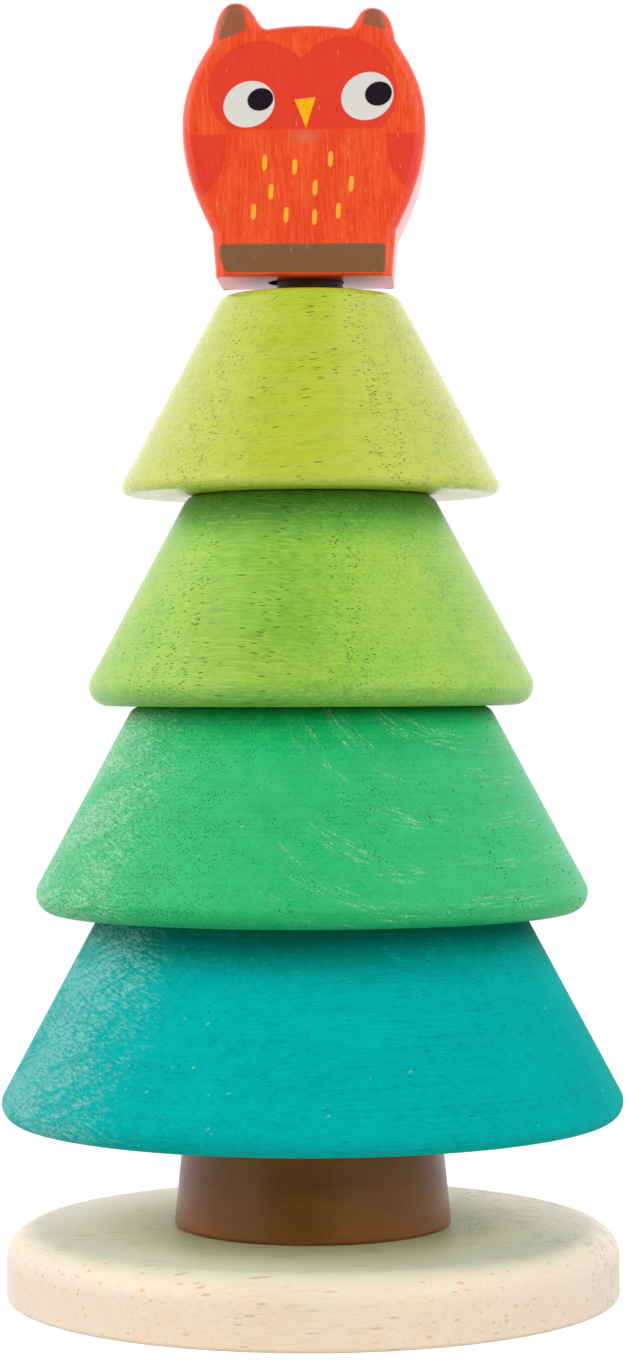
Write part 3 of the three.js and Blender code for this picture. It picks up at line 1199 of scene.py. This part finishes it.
@dataclass
class Owl:
    """The owl cut from a board, its edges rounded over and its underside sawn flat."""

    edge_round: float = 2.2
    foot_round: float = 0.9
    foot_width: float = 34.2
    knee_width: float = 35.6
    knee_height: float = 8.8
    body_height: float = 29.3
    brow_width: float = 35.6
    brow_height: float = 45.4
    crown_height: float = 48.6
    crown_dip: float = 0.6
    waste: float = 6.0
    socket_radius: float = 7.5
    socket_depth: float = 20.0
    left_ear: Ear = Ear(6.9, 13.2, 53.1, 0.75)
    right_ear: Ear = Ear(8.4, 13.2, 51.9, 0.83)
    flank: tuple[Pair, ...] = ((0.48, 0.27), (1.0, 0.57))  # the handles of each curve, for bend
    cheek: tuple[Pair, ...] = ((0.0, 0.42), (0.5, 0.74))
    ear_foot: Pair = (0.08, 0.26)
    ear_inside: tuple[Pair, ...] = ((0.64, 0.0), (0.6, 1.0))
    curve_points: int = 25
    round_steps: int = 8
    socket_steps: int = 96
    paint: OwlPaint = field(default_factory=OwlPaint)
    middle: float = field(init=False)
    half_width: float = field(init=False)
    foot: float = field(init=False)
    front: float = field(init=False)
    thickness: float = field(init=False)

    def __post_init__(self) -> None:
        """Takes its place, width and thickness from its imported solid."""
        low, high = span("owl_topper")
        self.middle = (low.x + high.x) / 2
        self.half_width = (high.x - low.x) / 2
        self.foot = low.z
        self.front = low.y
        self.thickness = high.y - low.y

    def build(self, workshop: Workshop) -> None:
        """Builds the owl."""
        material = self.paint.material(self.middle, self.foot, self.front)
        workshop.deliver(self.carved(), "owl_painted", "owl_topper", "owl", material)

    def bend(self, start: Vector, end: Vector, shares: tuple[Pair, ...]) -> list[Vector]:
        """One curve of the outline.

        Args:
            start: Where the curve starts.
            end: Where it ends.
            shares: Its two handles, as shares of the way across and up.

        Returns:
            The curve's points, without the first.
        """
        way = end - start
        handles = [start + Vector((way.x * across, 0, way.z * up)) for across, up in shares]
        return interpolate_bezier(start, *handles, end, self.curve_points)[1:]

    def half(self, ear: Ear) -> list[Vector]:
        """Half of the outline, drawn on the right.

        Args:
            ear: The ear on this half.

        Returns:
            Its points, from the waste under the foot up to the ear's root.
        """
        foot = self.foot_width / 2
        points = [Vector((foot, 0, -self.waste)), Vector((foot, 0, 0))]
        points.append(Vector((self.knee_width / 2, 0, self.knee_height)))
        for across, up, shares in (
            (self.half_width, self.body_height, self.flank),
            (self.brow_width / 2, self.brow_height, self.cheek),
            (ear.tip, ear.tip_height, (self.ear_foot, (1 - ear.bulge_share, 1.0))),
            (ear.root, self.crown_height - self.crown_dip, self.ear_inside),
        ):
            points += self.bend(points[-1], Vector((across, 0, up)), shares)
        return points

    def outline(self) -> list[Vector]:
        """The owl's outline, up its right side, over the ears and down its left side.

        Returns:
            Its points, about the owl's middle and up from its foot.
        """
        right = self.half(self.right_ear)
        left = [Vector((-point.x, 0, point.z)) for point in reversed(self.half(self.left_ear))]
        third = (left[0] - right[-1]) / 3
        lift = Vector((0, 0, self.crown_dip * 4 / 3))  # handles this high raise the middle by the dip
        crown = interpolate_bezier(
            right[-1], right[-1] + third + lift, left[0] - third + lift, left[0], self.curve_points
        )
        return right + crown[1:-1] + left

    def carved(self) -> BMesh:
        """The owl's body: sawn out, rounded over, cut flat below and drilled for the peg.

        Returns:
            The body, in millimetres.
        """
        body = bmesh.new()
        back = body.faces.new([body.verts.new(point) for point in self.outline()])
        grown = bmesh.ops.extrude_face_region(body, geom=[back], use_keep_orig=True)["geom"]
        bmesh.ops.translate(body, vec=(0, self.thickness, 0), verts=only(BMVert, grown))
        bmesh.ops.translate(body, vec=(0, -self.thickness / 2, 0), verts=body.verts)
        rims = [e for e in body.edges if len({round(v.co.y, 3) for v in e.verts}) == 1]
        self.rounded(body, rims, self.edge_round, self.round_steps)
        bmesh.ops.bisect_plane(
            body, geom=body.verts[:] + body.edges[:] + body.faces[:], plane_co=(0, 0, 0), plane_no=(0, 0, -1),
            clear_outer=True,
        )
        bmesh.ops.contextual_create(body, geom=[e for e in body.edges if e.is_boundary])
        bmesh.ops.recalc_face_normals(body, faces=body.faces)
        sawn = [e for e in body.edges if all(abs(v.co.z) < MM for v in e.verts)]
        self.rounded(body, sawn, self.foot_round, self.round_steps // 2)
        under = max(underside(body), key=lambda face: face.calc_area())
        mouth = bmesh.ops.create_circle(
            body, cap_ends=False, radius=self.socket_radius, segments=self.socket_steps
        )
        sink(body, [under], list({e for v in mouth["verts"] for e in v.link_edges}), self.socket_depth)
        bmesh.ops.translate(body, vec=(self.middle, 0, self.foot), verts=body.verts)
        return body

    def rounded(
        self, body: BMesh, edges: list[BMEdge], radius: float, steps: int
    ) -> None:
        """Rounds edges over.

        Args:
            body: The body.
            edges: The edges.
            radius: How far the round reaches, in millimetres.
            steps: How many flats it has.
        """
        bmesh.ops.bevel(
            body, geom=edges, offset=radius, offset_type="OFFSET", affect="EDGES",
            segments=steps, profile=0.5, material=-1, clamp_overlap=False,
        )


@dataclass(frozen=True)
class SoftBox:
    """A large soft lamp that looks at the toy. Reflections show the room's own bright sides instead."""

    name: str
    bearing: float  # degrees to the right of the camera's side
    rise: float  # degrees above level
    width: float
    height: float
    level: float  # how bright it makes a white wall that faces it
    distance: float = 0.9  # metres

    def hang(self, target: Vector) -> None:
        """Hangs the lamp.

        Args:
            target: What it looks at.
        """
        lamp = bpy.data.lights.new(self.name, "AREA")
        lamp.shape = "RECTANGLE"
        lamp.size = self.width
        lamp.size_y = self.height
        lamp.energy = self.level * (math.pi * self.distance) ** 2
        bearing, rise = math.radians(self.bearing), math.radians(self.rise)
        aim = Vector((
            math.sin(bearing) * math.cos(rise),
            -math.cos(bearing) * math.cos(rise),
            math.sin(rise),
        ))
        held = bpy.data.objects.new(self.name, lamp)
        held.location = target + aim * self.distance
        held.rotation_euler = aim.to_track_quat("Z", "Y").to_euler()
        held.visible_glossy = False
        held.visible_camera = False
        bpy.context.scene.collection.objects.link(held)


@dataclass
class Studio:
    """The white table, the soft light round it and the camera."""

    focal_pixels: float = 3340.0
    camera_distance: float = 656.5
    camera_height: float = 121.3
    camera_bearing: float = 2.23  # degrees to the right
    camera_dip: float = 0.092  # degrees below level
    camera_pan: float = 0.038  # degrees to the right of the tree's middle
    camera_roll: float = -0.19
    sensor: float = 36.0
    table_rise: float = 0.1  # millimetres above the base's underside, so that they share no plane
    floor_radius: float = 0.6  # metres, as its fade is
    floor_fade: float = 0.35
    floor_steps: int = 96
    floor_dull: tuple[tuple[float, ...], ...] = ((0.8, 0.79, 0.78, 1), (0.82, 0.82, 0.81, 1))
    floor_shown: tuple[float, ...] = (0.36, 0.352, 0.345, 1)  # how it takes the light, where it is looked at
    floor_glow: float = 0.82  # how bright it is there without any light
    surround: float = 0.1  # how bright the room is on the toy
    mirrored_front: float = 0.02  # how bright reflections show the room on the camera's side
    mirrored_back: float = 1.6
    mirrored_left: float = 2.0
    mirrored_right: float = 1.6
    mirrored_tint: tuple[float, ...] = (1, 0.9, 0.98, 1)
    lamps: tuple[SoftBox, ...] = (
        SoftBox("right_key", bearing=40, rise=26, width=0.8, height=0.5, level=0.68),
        SoftBox("left_key", bearing=-56, rise=28, width=0.6, height=0.6, level=0.53),
        SoftBox("left_box", bearing=-94, rise=25, width=0.5, height=0.36, level=0.33),
        SoftBox("right_box", bearing=98, rise=26, width=0.5, height=0.36, level=0.2),
        SoftBox("back_box", bearing=176, rise=34, width=0.8, height=0.5, level=0.42),
        SoftBox("under_box", bearing=20, rise=-55, width=0.7, height=0.7, level=0.5),
    )

    def build(self) -> None:
        """Sets up the table, the light and the camera."""
        self.room()
        self.table()
        for lamp in self.lamps:
            lamp.hang(Vector((0, 0, self.camera_height * MM)))
        self.camera()
        bpy.context.scene.view_settings.view_transform = "Standard"

    def looks(self, recipe: Recipe) -> tuple[Value, Value]:
        """1 for what the camera sees, and 1 for what a reflection or a clear surface shows."""
        ray = recipe.node("ShaderNodeLightPath").outputs
        mirrored = Value(recipe, ray["Is Glossy Ray"]).most(Value(recipe, ray["Is Transmission Ray"]))
        return Value(recipe, ray["Is Camera Ray"]), mirrored

    def room(self) -> None:
        """The white room, whose reflection is dark on the camera's side."""
        world = bpy.data.worlds.new("studio_room")
        bpy.context.scene.world = world
        recipe = Recipe(world)
        across, depth, _ = recipe.axes(recipe.node("ShaderNodeTexCoord").outputs["Generated"])
        behind = depth.between(-0.1, 0.6) * self.mirrored_back
        left = across.between(-0.4, -0.8) * self.mirrored_left
        right = across.between(0.1, 0.6) * self.mirrored_right
        bright = behind.most(left).most(right) + self.mirrored_front
        camera, mirrored = self.looks(recipe)
        light = (1 - mirrored) * self.surround + bright * mirrored
        strength = light * (1 - camera) + camera
        colour = recipe.mix(mirrored * (1 - camera), WHITE, self.mirrored_tint)
        glow = recipe.node("ShaderNodeBackground", inputs={"Color": colour, "Strength": strength})
        recipe.finish(glow.outputs[0], "ShaderNodeOutputWorld")

    def table(self) -> None:
        """The white table top, which fades into the room and is clear from below."""
        body = bmesh.new()
        bmesh.ops.create_circle(
            body, cap_ends=True, radius=self.floor_radius, segments=self.floor_steps,
            matrix=Matrix.Translation((0, 0, self.table_rise * MM)),
        )
        mesh = bpy.data.meshes.new("table_top")
        body.to_mesh(mesh)
        body.free()
        mesh.materials.append(self.table_white())
        top = bpy.data.objects.new("table_top", mesh)
        bpy.context.scene.collection.objects.link(top)

    def table_white(self) -> Material:
        """Makes the table's white, which glows to the camera and in reflections and only there.

        Returns:
            The material.
        """
        made = bpy.data.materials.new("table_white")
        recipe = Recipe(made)

        def shader(kind: str, **inputs: Any) -> NodeSocket:
            """The result of a shader node."""
            return recipe.node(kind, inputs=inputs).outputs[0]

        across, depth, _ = recipe.axes(recipe.point())
        below = Value(recipe, recipe.node("ShaderNodeNewGeometry").outputs["Backfacing"])
        fade = across.hypot(depth).between(self.floor_fade / MM, self.floor_radius / MM).most(below)
        cloud = recipe.noise(recipe.point(), (90, 90, 90), 2)
        lit = shader("ShaderNodeBsdfDiffuse", Color=recipe.mix(cloud, *self.floor_dull))
        shown = shader("ShaderNodeBsdfDiffuse", Color=self.floor_shown)
        glow = shader("ShaderNodeEmission", Color=WHITE, Strength=self.floor_glow)
        bright = shader("ShaderNodeAddShader", Shader=shown, Shader_001=glow)
        camera, mirrored = self.looks(recipe)
        plain = shader("ShaderNodeMixShader", Fac=camera.most(mirrored), Shader=lit, Shader_001=bright)
        clear = shader("ShaderNodeBsdfTransparent")
        recipe.finish(shader("ShaderNodeMixShader", Fac=fade, Shader=plain, Shader_001=clear))
        return made

    def camera(self) -> None:
        """The camera, where the photographer stood."""
        lens = bpy.data.cameras.new("camera")
        lens.sensor_width = self.sensor
        lens.lens = self.focal_pixels * self.sensor / PHOTO_HEIGHT
        eye = bpy.data.objects.new("camera", lens)
        bearing = math.radians(self.camera_bearing)
        eye.location = Vector((
            self.camera_distance * math.sin(bearing),
            -self.camera_distance * math.cos(bearing),
            self.camera_height,
        )) * MM
        level = Matrix.Rotation(math.pi / 2 - math.radians(self.camera_dip), 4, "X")
        roll = Matrix.Rotation(math.radians(self.camera_roll), 4, "Z")
        turn = Matrix.Rotation(bearing - math.radians(self.camera_pan), 4, "Z")
        eye.rotation_euler = (turn @ level @ roll).to_euler()
        bpy.context.scene.collection.objects.link(eye)
        bpy.context.scene.camera = eye


def rings() -> list[Ring]:
    """The four rings, from the lowest up.

    Returns:
        The rings, with their finishes.
    """
    # Each ring's deeper shoulder colour below is painted shade under the ring above.
    teal = StainedWood(
        "teal_stain", stain="#02aaa7", deep="#03807a", bright="#05bab3", pale="#8bcdc4", warm="#02b2a6",
        pore="#056a66", painted_shade="#02877e", grain=Grain(turn=14, lean=3, pith=(60, -30), seed=11),
        # The pale patch on the front left, here and on the green ring, is painted sheen.
        sheen=Sheen.DULL, pores=0.12, threads=0.0, fibres=1.0, years=0.0, painted_left_sheen=0.9, nicks=0.08,
    )
    green = StainedWood(
        "green_stain", stain="#2fb471", deep="#158851", bright="#3fc783", pale="#a4d8b2", warm="#1cb869",
        pore="#0d6a3d", painted_shade="#06a95c",
        grain=Grain(turn=76, lean=4, pith=(-49, 130), growth=7.5, wander=12.0), sheen=Sheen.SOFT,
        pores=0.9, strips=((-0.65, 0.5),), threads=0.0, fibres=0.8, years=0.02,
        arcs=0.7, painted_left_sheen=0.8, nicks=0.02, rim=0.65,
    )
    leaf = StainedWood(
        "leaf_stain", stain="#8cc040", deep="#5c9832", bright="#a4cf58", pale="#b4d478", warm="#bfc044",
        pore="#55661a", painted_shade="#5aa545", grain=Grain(turn=-18, lean=-2, pith=(60, 40), seed=71),
        sheen=Sheen.SATIN, pores=0.6, strips=((-0.65, 0.2), (-0.18, 0.12), (0.23, 0.14)), threads=0.15,
        # The leaf's deeper upright band on its front is painted shade.
        fibres=1.5, years=0.08, rim=0.6, painted_shade_band=(-0.22, 0.45),
    )
    lime = StainedWood(
        "lime_stain", stain="#b5c736", deep="#87a02e", bright="#c3d14d", pale="#cfd47c", warm="#c2c243",
        pore="#56661a", painted_shade="#b5c736", grain=Grain(turn=6, lean=7, pith=(-50, 260), seed=97),
        sheen=Sheen.BRIGHT, pores=0.75, strips=((-0.6, 0.16), (0.47, 0.16), (0.8, 0.1)), threads=0.35,
        fibres=0.8, years=0.08,
    )
    return [
        Ring("teal_ring", "teal", "teal_stain", 3.5, teal),
        Ring("green_ring", "green", "green_stain", 3.8, green),
        Ring("leaf_ring", "leaf", "leaf_stain", 3.8, leaf),
        Ring("lime_ring", "lime", "lime_stain", 1.7, lime),
    ]


def main() -> None:
    """Builds the studio, then every piece of the toy."""
    logging.basicConfig(level=logging.INFO, format="%(message)s")
    workshop = Workshop()
    Studio().build()
    Stand().build(workshop)
    for ring in rings():
        ring.build(workshop)
    Owl().build(workshop)


if __name__ == "__main__":
    main()
